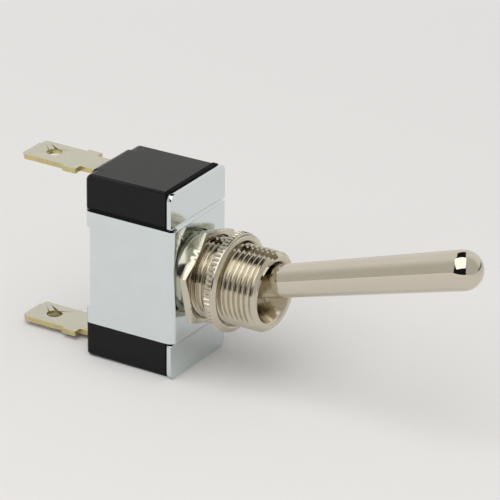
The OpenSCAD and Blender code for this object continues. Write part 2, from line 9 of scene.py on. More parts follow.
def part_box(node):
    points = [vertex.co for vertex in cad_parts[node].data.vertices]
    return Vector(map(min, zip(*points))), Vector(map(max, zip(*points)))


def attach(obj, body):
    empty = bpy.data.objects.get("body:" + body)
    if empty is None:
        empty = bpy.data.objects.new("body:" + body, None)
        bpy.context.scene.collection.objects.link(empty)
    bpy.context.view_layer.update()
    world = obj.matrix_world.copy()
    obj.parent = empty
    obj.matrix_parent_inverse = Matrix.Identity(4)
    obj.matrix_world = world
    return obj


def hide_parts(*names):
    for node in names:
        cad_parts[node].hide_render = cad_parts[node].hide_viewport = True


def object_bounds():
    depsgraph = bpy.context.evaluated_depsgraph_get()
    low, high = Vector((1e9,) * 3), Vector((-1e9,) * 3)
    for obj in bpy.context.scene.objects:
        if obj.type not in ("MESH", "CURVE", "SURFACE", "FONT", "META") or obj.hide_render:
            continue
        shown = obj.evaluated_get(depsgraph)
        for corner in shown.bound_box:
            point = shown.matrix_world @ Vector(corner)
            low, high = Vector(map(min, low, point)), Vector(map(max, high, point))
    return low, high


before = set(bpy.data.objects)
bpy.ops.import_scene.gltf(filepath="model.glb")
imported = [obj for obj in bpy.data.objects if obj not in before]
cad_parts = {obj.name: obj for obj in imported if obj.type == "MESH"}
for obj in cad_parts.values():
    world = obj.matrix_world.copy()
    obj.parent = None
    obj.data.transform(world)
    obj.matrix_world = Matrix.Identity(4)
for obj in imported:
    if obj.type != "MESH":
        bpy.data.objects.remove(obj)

bl_info = {
    "name": "Panel toggle switch",
    "version": (1, 0, 0),
    "blender": (4, 5, 0),
    "location": "3D View > Sidebar > Toggle Switch",
    "description": "Threads, knurls, eased edges, platings and a studio for the packed toggle switch",
    "category": "Object",
}

MM = 0.001
CAD_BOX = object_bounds()
BUSHING_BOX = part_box("bushing")
KNURL_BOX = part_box("knurled_nut")
HEX_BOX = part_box("hex_nut")
LEVER_PIVOT = Vector((0, -7.2, 0)) * MM
NUT_CLEARANCE = 0.05 * MM
TENT_AXIS = Vector((-0.918, -0.398, 0))
BACKDROP = (0.807, 0.793, 0.783, 1)


# ---------------------------------------------------------------- settings


class SwitchShape(bpy.types.PropertyGroup):
    """Details that are cut, rolled or eased on the real part and left plain in the solid model"""

    thread_pitch: FloatProperty(
        name="Thread pitch", description="Distance between two turns of the bushing's thread",
        default=0.907 * MM, min=0.4 * MM, max=2 * MM, unit="LENGTH", precision=6,
    )
    thread_depth: FloatProperty(
        name="Thread depth", description="Depth of the bushing's thread",
        default=0.5 * MM, min=0.1 * MM, max=1 * MM, unit="LENGTH", precision=6,
    )
    knurl_ridges: IntProperty(
        name="Knurl ridges", description="Number of ridges round the knurled nut",
        default=64, min=24, max=120,
    )
    knurl_depth: FloatProperty(
        name="Knurl depth", description="Depth of the grooves between the ridges",
        default=0.2 * MM, min=0.05 * MM, max=0.5 * MM, unit="LENGTH", precision=6,
    )
    sheet_ease: FloatProperty(
        name="Sheet edge easing", description="Width of the rolled edge on the bracket's sheared sheet",
        default=0.17 * MM, min=0.01 * MM, max=0.3 * MM, unit="LENGTH", precision=6,
    )
    blade_ease: FloatProperty(
        name="Blade edge easing", description="Width of the eased edge on the blades and the insulator",
        default=0.09 * MM, min=0.01 * MM, max=0.3 * MM, unit="LENGTH", precision=6,
    )
    moulded_ease: FloatProperty(
        name="Moulded edge easing", description="Width of the eased edge on the moulded base",
        default=0.16 * MM, min=0.01 * MM, max=0.5 * MM, unit="LENGTH", precision=6,
    )
    lever_tilt: FloatProperty(
        name="Lever tilt", description="Tilt of the lever above the bushing's axis at rest",
        default=math.radians(17), min=0, max=math.radians(20), subtype="ANGLE",
    )


class SwitchFinish(bpy.types.PropertyGroup):
    """Colours of the switch's materials"""

    zinc: FloatVectorProperty(
        name="Zinc plating", description="Clear zinc plating on the steel bracket",
        default=(0.74, 0.80, 0.805), size=3, min=0, max=1, subtype="COLOR",
    )
    nickel: FloatVectorProperty(
        name="Nickel plating", description="Nickel plating on the bushing and the nuts",
        default=(0.66, 0.61, 0.50), size=3, min=0, max=1, subtype="COLOR",
    )
    lever: FloatVectorProperty(
        name="Polished nickel", description="Polished nickel plating on the lever",
        default=(0.67, 0.62, 0.52), size=3, min=0, max=1, subtype="COLOR",
    )
    phenolic: FloatVectorProperty(
        name="Black phenolic", description="Moulded black base",
        default=(0.0045, 0.0045, 0.005), size=3, min=0, max=1, subtype="COLOR",
    )
    fibre: FloatVectorProperty(
        name="Black fibre", description="Insulating sheet under the bracket",
        default=(0.003, 0.003, 0.003), size=3, min=0, max=1, subtype="COLOR",
    )
    tin: FloatVectorProperty(
        name="Tin plating", description="Tinned faces of the terminals",
        default=(0.70, 0.67, 0.55), size=3, min=0, max=1, subtype="COLOR",
    )
    brass: FloatVectorProperty(
        name="Brass", description="Bare brass on sheared edges and rivets",
        default=(0.70, 0.60, 0.30), size=3, min=0, max=1, subtype="COLOR",
    )
    copper: FloatVectorProperty(
        name="Copper", description="Copper of the rocker and its fork",
        default=(0.80, 0.42, 0.27), size=3, min=0, max=1, subtype="COLOR",
    )
    nylon: FloatVectorProperty(
        name="Nylon", description="Natural nylon of the plunger",
        default=(0.72, 0.66, 0.50), size=3, min=0, max=1, subtype="COLOR",
    )


class SwitchStudio(bpy.types.PropertyGroup):
    """Lights and surroundings"""

    softbox_power: FloatProperty(
        name="Softbox power", description="Power of the overhead softbox",
        default=7.0, min=0, max=100, unit="POWER",
    )
    tent_light: FloatProperty(
        name="Tent light", description="Light that the studio's pale walls give back",
        default=0.55, min=0, max=2,
    )
    floor: FloatVectorProperty(
        name="Floor", description="Pale studio floor",
        default=(0.80, 0.79, 0.78), size=3, min=0, max=1, subtype="COLOR",
    )


# ---------------------------------------------------------------- meshes


def fillet(outline, radii, steps=4):
    """Rounds the corners of a flat outline of (x, y) points; radii gives each corner's radius."""
    points = [Vector(p) for p in outline]
    rounded = []
    for i, corner in enumerate(points):
        radius = radii[i] if i < len(radii) else 0
        if radius <= 0 or i in (0, len(points) - 1):
            rounded.append(corner)
            continue
        before, after = points[i - 1] - corner, points[i + 1] - corner
        reach = min(radius, before.length * 0.48, after.length * 0.48)
        start = corner + before.normalized() * reach
        end = corner + after.normalized() * reach
        for k in range(steps + 1):
            t = k / steps
            rounded.append(start * (1 - t) ** 2 + corner * (2 * t * (1 - t)) + end * t ** 2)
    return rounded


def finish_mesh(name, mesh, sharp_degrees=38):
    """Shades a mesh smooth, but for its sharp corners, and puts it in the scene."""
    for polygon in mesh.polygons:
        polygon.use_smooth = True
    mesh.set_sharp_from_angle(angle=math.radians(sharp_degrees))
    piece = bpy.data.objects.new(name, mesh)
    bpy.context.scene.collection.objects.link(piece)
    return piece


def skin(name, columns, closed=True, sharp_degrees=38):
    """A piece from columns of points; each column is joined to the next, and the last to the first."""
    rows = len(columns[0])
    work = bmesh.new()
    grid = [[work.verts.new(p) for p in column] for column in columns]
    count = len(grid) if closed else len(grid) - 1
    for c in range(count):
        left, right = grid[c], grid[(c + 1) % len(grid)]
        for r in range(rows - 1):
            work.faces.new((left[r], left[r + 1], right[r + 1], right[r]))
    bmesh.ops.remove_doubles(work, verts=work.verts, dist=2e-7)
    bmesh.ops.dissolve_degenerate(work, edges=work.edges, dist=1e-7)
    bmesh.ops.recalc_face_normals(work, faces=work.faces)
    mesh = bpy.data.meshes.new(name)
    work.to_mesh(mesh)
    work.free()
    return finish_mesh(name, mesh, sharp_degrees)


def turned(name, outline, place, sides=128, sharp_degrees=38):
    """A piece turned from an outline of (distance along the axis, radius)."""
    columns = []
    for k in range(sides):
        angle = 2 * math.pi * k / sides
        columns.append([
            place @ Vector((p[1] * math.cos(angle), p[1] * math.sin(angle), p[0])) for p in outline
        ])
    return skin(name, columns, True, sharp_degrees)


def out_of_panel():
    """Turns +Z of a drawn shape to point out of the panel, along -Y."""
    return Matrix.Rotation(math.radians(90), 4, "X")


def eased_copy(name, node, ease, segments=2, limit_degrees=32):
    """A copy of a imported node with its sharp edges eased, to stand for that node."""
    work = bmesh.new()
    work.from_mesh(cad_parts[node].data)
    bmesh.ops.remove_doubles(work, verts=work.verts, dist=2e-6)
    bmesh.ops.dissolve_limit(
        work, angle_limit=math.radians(0.6), use_dissolve_boundaries=False,
        verts=work.verts, edges=work.edges,
    )
    mesh = bpy.data.meshes.new(name)
    work.to_mesh(mesh)
    work.free()
    rough = bpy.data.objects.new(name + "_rough", mesh)
    bpy.context.scene.collection.objects.link(rough)
    bevel = rough.modifiers.new("ease", "BEVEL")
    bevel.width = ease
    bevel.segments = segments
    bevel.limit_method = "ANGLE"
    bevel.angle_limit = math.radians(limit_degrees)
    bevel.use_clamp_overlap = True
    bevel.miter_outer = "MITER_ARC"
    bpy.context.view_layer.update()
    eased = bpy.data.meshes.new_from_object(rough.evaluated_get(bpy.context.evaluated_depsgraph_get()))
    eased.name = name
    bpy.data.objects.remove(rough)
    bpy.data.meshes.remove(mesh)
    work = bmesh.new()
    work.from_mesh(eased)
    bmesh.ops.triangulate(work, faces=[f for f in work.faces if len(f.verts) > 4])
    work.to_mesh(eased)
    work.free()
    piece = finish_mesh(name, eased, 60)
    weighted = piece.modifiers.new("flat faces", "WEIGHTED_NORMAL")
    weighted.mode = "FACE_AREA_WITH_ANGLE"
    weighted.keep_sharp = True
    weighted.weight = 100
    return piece


def dress(piece, finish):
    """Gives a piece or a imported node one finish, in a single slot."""
    piece.data.materials.clear()
    piece.data.materials.append(finish)


def dress_node(node, finish):
    """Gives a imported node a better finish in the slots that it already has."""
    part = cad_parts[node]
    if not part.material_slots:
        part.data.materials.append(finish)
    for slot in part.material_slots:
        slot.material = finish
    for polygon in part.data.polygons:
        polygon.use_smooth = True
    part.data.set_sharp_from_angle(angle=math.radians(35))


# ---------------------------------------------------------------- finishes


def node_in(tree, kind, label=None, **settings):
    """A shader node with its plain settings and named inputs filled in."""
    made = tree.nodes.new(kind)
    if label:
        made.label = label
    for key, value in settings.items():
        if hasattr(made, key):
            setattr(made, key, value)
        else:
            made.inputs[key.replace("_", " ")].default_value = value
    return made


def new_group(name, inputs, outputs):
    """An empty shader node group with its sockets."""
    group = bpy.data.node_groups.new(name, "ShaderNodeTree")
    for socket, kind, default in inputs:
        made = group.interface.new_socket(name=socket, in_out="INPUT", socket_type=kind)
        made.default_value = default
    for socket, kind in outputs:
        group.interface.new_socket(name=socket, in_out="OUTPUT", socket_type=kind)
    return group


def surface_grain():
    """Colour, roughness and height of a fine random grain with broad soft clouds over it."""
    if "Surface Grain" in bpy.data.node_groups:
        return bpy.data.node_groups["Surface Grain"]
    group = new_group(
        "Surface Grain",
        [
            ("Light Colour", "NodeSocketColor", (0.8, 0.8, 0.8, 1)),
            ("Dark Colour", "NodeSocketColor", (0.6, 0.6, 0.6, 1)),
            ("Grain per Metre", "NodeSocketFloat", 6000.0),
            ("Clouds per Metre", "NodeSocketFloat", 300.0),
            ("Grain Stretch", "NodeSocketVector", (1, 1, 1)),
            ("Roughness", "NodeSocketFloat", 0.3),
            ("Roughness Spread", "NodeSocketFloat", 0.08),
        ],
        [("Color", "NodeSocketColor"), ("Roughness", "NodeSocketFloat"), ("Height", "NodeSocketFloat")],
    )
    tree, link = group, group.links.new
    inward = node_in(tree, "NodeGroupInput")
    outward = node_in(tree, "NodeGroupOutput")
    place = node_in(tree, "ShaderNodeTexCoord")
    stretched = node_in(tree, "ShaderNodeVectorMath", operation="MULTIPLY")
    link(place.outputs["Object"], stretched.inputs[0])
    link(inward.outputs["Grain Stretch"], stretched.inputs[1])
    grain = node_in(tree, "ShaderNodeTexNoise", "fine grain", Detail=3.0, Roughness=0.6)
    link(stretched.outputs[0], grain.inputs["Vector"])
    link(inward.outputs["Grain per Metre"], grain.inputs["Scale"])
    clouds = node_in(tree, "ShaderNodeTexNoise", "broad clouds", Detail=2.0, Roughness=0.5)
    link(place.outputs["Object"], clouds.inputs["Vector"])
    link(inward.outputs["Clouds per Metre"], clouds.inputs["Scale"])
    both = node_in(tree, "ShaderNodeMath", operation="ADD")
    link(grain.outputs["Fac"], both.inputs[0])
    link(clouds.outputs["Fac"], both.inputs[1])
    mask = node_in(tree, "ShaderNodeMapRange", interpolation_type="SMOOTHSTEP", From_Min=0.75, From_Max=1.25)
    link(both.outputs[0], mask.inputs["Value"])
    colour = node_in(tree, "ShaderNodeMix", data_type="RGBA")
    link(mask.outputs["Result"], colour.inputs[0])
    link(inward.outputs["Dark Colour"], colour.inputs[6])
    link(inward.outputs["Light Colour"], colour.inputs[7])
    link(colour.outputs[2], outward.inputs["Color"])
    centred = node_in(tree, "ShaderNodeMath", operation="SUBTRACT")
    centred.inputs[1].default_value = 0.5
    link(mask.outputs["Result"], centred.inputs[0])
    rough = node_in(tree, "ShaderNodeMath", operation="MULTIPLY_ADD", use_clamp=True)
    link(centred.outputs[0], rough.inputs[0])
    link(inward.outputs["Roughness Spread"], rough.inputs[1])
    link(inward.outputs["Roughness"], rough.inputs[2])
    link(rough.outputs[0], outward.inputs["Roughness"])
    link(grain.outputs["Fac"], outward.inputs["Height"])
    return group


def handling_marks():
    """A mask of faint fine scratches, as parts get from lying loose among others."""
    if "Handling Marks" in bpy.data.node_groups:
        return bpy.data.node_groups["Handling Marks"]
    group = new_group(
        "Handling Marks",
        [
            ("Marks per Metre", "NodeSocketFloat", 900.0),
            ("Amount", "NodeSocketFloat", 0.2),
            ("Value", "NodeSocketFloat", 0.3),
        ],
        [("Value", "NodeSocketFloat")],
    )
    tree, link = group, group.links.new
    inward = node_in(tree, "NodeGroupInput")
    outward = node_in(tree, "NodeGroupOutput")
    place = node_in(tree, "ShaderNodeTexCoord")
    bend = node_in(tree, "ShaderNodeTexNoise", "bend the marks", Scale=160.0, Detail=1.0)
    link(place.outputs["Object"], bend.inputs["Vector"])
    moved = node_in(tree, "ShaderNodeVectorMath", operation="MULTIPLY_ADD")
    moved.inputs[1].default_value = (0.004, 0.004, 0.004)
    link(bend.outputs["Color"], moved.inputs[0])
    link(place.outputs["Object"], moved.inputs[2])
    marks = node_in(tree, "ShaderNodeTexVoronoi", "marks", feature="DISTANCE_TO_EDGE")
    link(moved.outputs[0], marks.inputs["Vector"])
    link(inward.outputs["Marks per Metre"], marks.inputs["Scale"])
    thin = node_in(tree, "ShaderNodeMapRange", From_Min=0.0, From_Max=0.03, To_Min=1.0, To_Max=0.0)
    link(marks.outputs["Distance"], thin.inputs["Value"])
    patchy = node_in(tree, "ShaderNodeMapRange", From_Min=0.5, From_Max=0.65)
    link(bend.outputs["Fac"], patchy.inputs["Value"])
    some = node_in(tree, "ShaderNodeMath", operation="MULTIPLY")
    link(thin.outputs["Result"], some.inputs[0])
    link(patchy.outputs["Result"], some.inputs[1])
    added = node_in(tree, "ShaderNodeMath", operation="MULTIPLY_ADD", use_clamp=True)
    link(some.outputs[0], added.inputs[0])
    link(inward.outputs["Amount"], added.inputs[1])
    link(inward.outputs["Value"], added.inputs[2])
    link(added.outputs[0], outward.inputs["Value"])
    return group


def shade(colour, factor):
    """A darker or lighter tone of a colour, with an opaque fourth value."""
    return tuple(min(1.0, c * factor) for c in colour) + (1.0,)


def grained_finish(
    name, colour, dark, roughness, spread, grain, clouds, bump, stretch=(1, 1, 1),
    metallic=1.0, marks=0.0, coat=0.0, specular=0.5,
):
    """A finish whose tone, gloss and height vary over the surface."""
    if name in bpy.data.materials:
        return bpy.data.materials[name]
    finish = bpy.data.materials.new(name)
    finish.use_nodes = True
    tree, link = finish.node_tree, finish.node_tree.links.new
    surface = tree.nodes["Principled BSDF"]
    surface.inputs["Metallic"].default_value = metallic
    surface.inputs["Specular IOR Level"].default_value = specular
    surface.inputs["Coat Weight"].default_value = coat
    surface.inputs["Coat Roughness"].default_value = 0.08
    texture = node_in(tree, "ShaderNodeGroup", node_tree=surface_grain())
    texture.inputs["Light Colour"].default_value = shade(colour, 1.0)
    texture.inputs["Dark Colour"].default_value = shade(colour, dark)
    texture.inputs["Grain per Metre"].default_value = grain
    texture.inputs["Clouds per Metre"].default_value = clouds
    texture.inputs["Grain Stretch"].default_value = stretch
    texture.inputs["Roughness"].default_value = roughness
    texture.inputs["Roughness Spread"].default_value = spread
    link(texture.outputs["Color"], surface.inputs["Base Color"])
    gloss = texture.outputs["Roughness"]
    if marks > 0:
        worn = node_in(tree, "ShaderNodeGroup", node_tree=handling_marks())
        worn.inputs["Amount"].default_value = marks
        link(gloss, worn.inputs["Value"])
        gloss = worn.outputs["Value"]
    link(gloss, surface.inputs["Roughness"])
    relief = node_in(tree, "ShaderNodeBump", Strength=1.0, Distance=bump)
    link(texture.outputs["Height"], relief.inputs["Height"])
    link(relief.outputs["Normal"], surface.inputs["Normal"])
    return finish


def finishes():
    """Every finish of the switch, by the name of its slot."""
    c = bpy.context.scene.switch_finish
    return {
        "zinc_plate": grained_finish(
            "Zinc plated steel", c.zinc, 0.97, 0.13, 0.05, 5200, 260, 2.0e-7, (1, 1, 0.25), marks=0.05),
        "nickel_plate": grained_finish(
            "Nickel plated brass", c.nickel, 0.92, 0.16, 0.08, 7000, 500, 1.0e-6, marks=0.08),
        "lever_nickel": grained_finish(
            "Polished nickel", c.lever, 0.97, 0.045, 0.02, 3000, 200, 1.0e-7, (1, 0.15, 1), marks=0.03),
        "base_black": grained_finish(
            "Black phenolic", c.phenolic, 0.8, 0.20, 0.06, 3500, 350, 6.0e-7,
            metallic=0.0, marks=0.05, specular=0.22),
        "insulator_black": grained_finish(
            "Black fibre", c.fibre, 0.7, 0.65, 0.15, 6000, 400, 4.0e-6, (1, 1, 0.4),
            metallic=0.0, specular=0.1),
        "tinned_brass": grained_finish(
            "Tinned brass", c.tin, 0.95, 0.22, 0.08, 4200, 350, 6.0e-7, (1, 0.3, 1), marks=0.08),
        "sheared_brass": grained_finish(
            "Sheared brass edge", c.brass, 0.82, 0.34, 0.12, 6000, 500, 3.0e-6, (1, 1, 0.2)),
        "rivet_brass": grained_finish(
            "Rivet brass", c.brass, 0.85, 0.30, 0.12, 5000, 400, 2.0e-6, marks=0.1),
        "copper": grained_finish(
            "Copper strip", c.copper, 0.85, 0.32, 0.12, 4500, 350, 2.0e-6, (1, 1, 0.3)),
        "silver": grained_finish(
            "Contact silver", (0.88, 0.87, 0.84), 0.9, 0.26, 0.1, 6000, 500, 1.5e-6),
        "pin_steel": grained_finish(
            "Bright steel", (0.56, 0.56, 0.55), 0.9, 0.25, 0.08, 5000, 400, 1.5e-6, (0.2, 1, 1)),
        "plunger_nylon": grained_finish(
            "Natural nylon", c.nylon, 0.92, 0.42, 0.1, 3000, 300, 2.0e-6, metallic=0.0),
    }


# ---------------------------------------------------------------- pieces


class SWITCH_OT_bracket(bpy.types.Operator):
    """Makes the folded, zinc plated bracket with its sheared edges eased"""

    bl_idname = "switch.bracket"
    bl_label = "Bracket"

    def execute(self, context):
        shape = context.scene.switch_shape
        bracket = eased_copy("bracket_plated", "bracket", shape.sheet_ease, 3)
        dress(bracket, finishes()["zinc_plate"])
        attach(bracket, "switch_body")
        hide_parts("bracket")
        return {"FINISHED"}


class SWITCH_OT_base(bpy.types.Operator):
    """Makes the moulded base and the fibre insulator with soft edges"""

    bl_idname = "switch.base"
    bl_label = "Base and insulator"

    def execute(self, context):
        shape = context.scene.switch_shape
        base = eased_copy("base_moulding", "base_housing", shape.moulded_ease, 3)
        dress(base, finishes()["base_black"])
        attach(base, "switch_body")
        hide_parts("base_housing")
        sheet = eased_copy("insulator_sheet", "insulator_plate", shape.blade_ease)
        dress(sheet, finishes()["insulator_black"])
        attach(sheet, "switch_body")
        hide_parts("insulator_plate")
        return {"FINISHED"}


def thread_drop(phase, depth):
    """How far the thread's surface lies under its crest; phase is in turns."""
    away = abs((phase + 0.5) % 1.0 - 0.5)
    slope = min(max((away - 0.06) / 0.36, 0.0), 1.0)
    return depth * (0.6 * slope + 0.4 * slope * slope * (3 - 2 * slope))


class SWITCH_OT_bushing(bpy.types.Operator):
    """Cuts the bushing's thread and keyway, and turns its mouth and bore"""

    bl_idname = "switch.bushing"
    bl_label = "Threaded bushing"

    def execute(self, context):
        shape = context.scene.switch_shape
        low, high = BUSHING_BOX
        crest, length, rear = high.x, -low.y, -high.y
        pitch, depth = shape.thread_pitch, shape.thread_depth
        if depth >= crest / 4:
            raise RuntimeError("the thread is too deep for the bushing")
        thread_start, thread_end = 0.7 * MM, length - 0.02 * MM
        undercut = crest - depth - 0.05 * MM
        chamfer = 0.6 * MM
        key_half, key_floor, key_start = 0.9 * MM, crest - 0.9 * MM, 1.2 * MM
        # Places within one turn at which the thread's profile is drawn
        turns_phase = (0, 0.06, 0.11, 0.19, 0.27, 0.34, 0.41, 0.5, 0.59, 0.66, 0.73, 0.81, 0.89, 0.94)
        rim_radius, mouth_radius, rim_bevel = 5.05 * MM, 4.8 * MM, 0.25 * MM
        lip_radius, lip_front, lip_back = 3.3 * MM, 8.77 * MM, 8.62 * MM
        chamber_radius, chamber_back = 3.6 * MM, 4.0 * MM
        flange_radius, neck_radius, flange_front = crest - 0.05 * MM, crest - 0.6 * MM, -0.7 * MM
        # The mouth's flare, the lip over the ball, the ball's chamber and the rear flange
        inside = fillet(
            [
                (length, crest - chamfer), (length, rim_radius), (length - rim_bevel, mouth_radius),
                (lip_front, lip_radius), (lip_back, lip_radius), (lip_back, chamber_radius),
                (chamber_back, chamber_radius), (rear, neck_radius),
                (rear, flange_radius), (flange_front, flange_radius), (flange_front, neck_radius),
                (0, neck_radius), (0, undercut), (thread_start, undercut),
            ],
            [0, 0.15 * MM, 0.15 * MM, 0.06 * MM, 0.06 * MM],
        )

        def radius(along, angle):
            cut = crest - thread_drop(along / pitch - angle / (2 * math.pi), depth)
            if along < thread_start + 0.3 * MM:
                cut = undercut + (cut - undercut) * max(0.0, (along - thread_start) / (0.3 * MM))
            return min(cut, crest - max(0.0, along - (length - chamfer)))

        # Round the bushing, with the keyway's two walls and floor drawn as extra stops at the top
        edge = math.asin(key_half / crest)
        top = math.pi / 2
        stops = []
        sides = 132
        for k in range(sides + 1):
            angle = 2 * math.pi * k / sides
            if abs(angle - top) > edge + 0.01:
                stops.append((angle, None))
        keyed = [(top - edge, (key_half, False)), (top - edge, (key_half, True))]
        keyed += [(top - edge + 2 * edge * k / 4, (key_half * (1 - k / 2), True)) for k in (1, 2, 3)]
        keyed += [(top + edge, (-key_half, True)), (top + edge, (-key_half, False))]
        stops = [s for s in stops if s[0] < top] + keyed + [s for s in stops if s[0] > top]
        # Inside this radius the keyway does not cut
        keyed_from = 5.2 * MM
        place = out_of_panel()
        columns = []
        turns = int(length / pitch) + 2
        for angle, key in stops:
            column = []
            for turn in range(-1, turns):
                for phase in turns_phase:
                    along = pitch * (turn + phase + angle / (2 * math.pi))
                    along = min(max(along, thread_start), thread_end)
                    r = radius(along, angle)
                    if key is None:
                        column.append((r * math.cos(angle), r * math.sin(angle), along))
                        continue
                    x = key[0]
                    z = math.sqrt(r * r - x * x)
                    if key[1] and along > key_start:
                        z = min(z, key_floor)
                    column.append((x, z, along))
            for along, r in inside:
                x, z = r * math.cos(angle), r * math.sin(angle)
                if key is not None and r > keyed_from:
                    x = key[0]
                    z = math.sqrt(r * r - x * x)
                    if key[1] and along > key_start:
                        z = min(z, key_floor)
                column.append((x, z, along))
            columns.append([place @ Vector(p) for p in column])
        bushing = skin("bushing_threaded", columns, False, 42)
        dress(bushing, finishes()["nickel_plate"])
        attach(bushing, "switch_body")
        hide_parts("bushing")
        return {"FINISHED"}


class SWITCH_OT_nuts(bpy.types.Operator):
    """Makes the thin hexagon nut and the knurled nut"""

    bl_idname = "switch.nuts"
    bl_label = "Nuts"

    def execute(self, context):
        self.hexagon()
        self.knurled(context.scene.switch_shape)
        return {"FINISHED"}

    def hexagon(self):
        low, high = HEX_BOX
        back, front = -high.y, -low.y
        bore = BUSHING_BOX[1].x + NUT_CLEARANCE
        half_flats = 14.3 / 2 * MM
        corner = half_flats / math.cos(math.radians(30))
        corner_wear, cone_depth = 0.05 * MM, 0.36 * MM
        turned_by = math.radians(-16.4)
        face_edge = half_flats + 0.05 * MM
        place = out_of_panel()
        columns = []
        per_flat = 14
        for k in range(6 * per_flat):
            part = k % per_flat / per_flat
            angle = math.radians(60) * (k // per_flat + part)
            to_flat = angle % math.radians(60) - math.radians(30)
            r = min(half_flats / math.cos(to_flat), corner - corner_wear)
            cone = cone_depth * max(0.0, (r - face_edge) / (corner - face_edge))
            outline = fillet(
                [
                    (back, bore + 0.35 * MM), (back, r), (front - cone, r),
                    (front, min(r, face_edge)), (front, bore + 0.3 * MM), (front - 0.28 * MM, bore),
                    (back + 0.3 * MM, bore), (back, bore + 0.35 * MM),
                ],
                [0, 0.06 * MM, 0.05 * MM, 0.05 * MM, 0.08 * MM, 0.05 * MM],
                3,
            )
            turn = angle + turned_by
            columns.append([
                place @ Vector((p.y * math.cos(turn), p.y * math.sin(turn), p.x)) for p in outline
            ])
        nut = skin("hex_nut_plated", columns, True, 28)
        dress(nut, finishes()["nickel_plate"])
        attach(nut, "hex_nut")
        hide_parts("hex_nut")

    def knurled(self, shape):
        low, high = KNURL_BOX
        back, front, rim = -high.y, -low.y, high.x
        bore = BUSHING_BOX[1].x + NUT_CLEARANCE
        ridge_end = back + 1.5 * MM
        groove = shape.knurl_depth
        place = out_of_panel()
        columns = []
        # Each ridge is a narrow flat top between two slopes and a groove
        profile = ((0.0, 0.0), (0.22, 0.0), (0.38, 0.8), (0.5, 1.0), (0.66, 1.0), (0.84, 0.8))
        for k in range(shape.knurl_ridges):
            for part, down in profile:
                angle = 2 * math.pi * (k + part) / shape.knurl_ridges
                r = rim - groove * down
                outline = fillet(
                    [
                        (back, bore + 0.3 * MM), (back, rim - 0.45 * MM), (back + 0.18 * MM, r),
                        (ridge_end - 0.32 * MM, r), (ridge_end - 0.22 * MM, rim - 0.06 * MM),
                        (ridge_end + 0.05 * MM, rim - 0.10 * MM), (ridge_end + 0.16 * MM, rim - 0.42 * MM),
                        (front - 0.02 * MM, bore + 0.75 * MM), (front, bore + 0.45 * MM),
                        (front - 0.3 * MM, bore), (back + 0.3 * MM, bore), (back, bore + 0.3 * MM),
                    ],
                    [0, 0.08 * MM, 0.08 * MM, 0.04 * MM, 0.05 * MM, 0.12 * MM, 0.1 * MM, 0.1 * MM, 0.1 * MM],
                    2,
                )
                columns.append([
                    place @ Vector((p.y * math.cos(angle), p.y * math.sin(angle), p.x)) for p in outline
                ])
        nut = skin("knurled_nut_plated", columns, True, 34)
        dress(nut, finishes()["nickel_plate"])
        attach(nut, "knurled_nut")
        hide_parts("knurled_nut")


class SWITCH_OT_lever(bpy.types.Operator):
    """Turns the polished bat lever, its ball and its stem"""

    bl_idname = "switch.lever"
    bl_label = "Lever"

    def execute(self, context):
        shape = context.scene.switch_shape
        ball, bat, tip = 3.5 * MM, 2.45 * MM, 3.1 * MM
        tip_at, stem = 40.5 * MM, 2.2 * MM
        socket, socket_floor, stem_end = 1.35 * MM, -1.4 * MM, -10.2 * MM
        taper = (tip - bat) / tip_at
        outline = [(socket_floor, 0.0), (socket_floor, socket), (stem_end, socket), (stem_end, stem)]
        low, high = math.asin(stem / ball), math.pi - math.asin((bat + taper * ball * 0.7) / ball)
        ball_steps, bat_steps, tip_steps = 32, 30, 40
        for k in range(ball_steps + 1):
            angle = low + (high - low) * k / ball_steps
            outline.append((-ball * math.cos(angle), ball * math.sin(angle)))
        bat_start = outline[-1][0]
        for k in range(1, bat_steps):
            along = bat_start + (tip_at - bat_start) * k / bat_steps
            outline.append((along, bat + taper * along))
        for k in range(tip_steps + 1):
            angle = math.pi / 2 * k / tip_steps
            outline.append((tip_at + tip * math.sin(angle), tip * math.cos(angle)))
        place = (
            Matrix.Translation(LEVER_PIVOT)
            @ Matrix.Rotation(-shape.lever_tilt, 4, "X")
            @ out_of_panel()
        )
        lever = turned("lever_polished", outline, place, 160, 45)
        dress(lever, finishes()["lever_nickel"])
        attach(lever, "lever")
        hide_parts("toggle_lever")
        return {"FINISHED"}


class SWITCH_OT_terminals(bpy.types.Operator):
    """Makes the two tinned blades, with bare brass on their sheared edges"""

    bl_idname = "switch.terminals"
    bl_label = "Terminals"

    def execute(self, context):
        shape = context.scene.switch_shape
        finish = finishes()
        plated_foot = 1.4 * MM
        for name, node in (("upper_blade", "common_terminal"), ("lower_blade", "load_terminal")):
            blade = eased_copy(name, node, shape.blade_ease)
            dress(blade, finish["tinned_brass"])
            blade.data.materials.append(finish["sheared_brass"])
            for polygon in blade.data.polygons:
                across = polygon.normal
                behind = polygon.center.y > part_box(node)[0].y + plated_foot
                if behind and abs(across.z) < 0.35 and polygon.area > 0:
                    polygon.material_index = 1
            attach(blade, "switch_body")
            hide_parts(node)
        return {"FINISHED"}


class SWITCH_OT_works(bpy.types.Operator):
    """Finishes the rivets, the contacts, the rocker and the plunger in place"""

    bl_idname = "switch.works"
    bl_label = "Rivets and inner works"

    def execute(self, context):
        finish = finishes()
        inner = {
            "common_rivet": "rivet_brass", "load_rivet": "rivet_brass", "stirrup": "copper",
            "rocker": "copper", "rocker_pin": "pin_steel",
            "moving_contact": "silver", "fixed_contact": "silver",
            "pivot_pin": "pin_steel", "plunger_spring": "pin_steel", "plunger": "plunger_nylon",
        }
        for node, slot in inner.items():
            dress_node(node, finish[slot])
        return {"FINISHED"}


# ---------------------------------------------------------------- studio


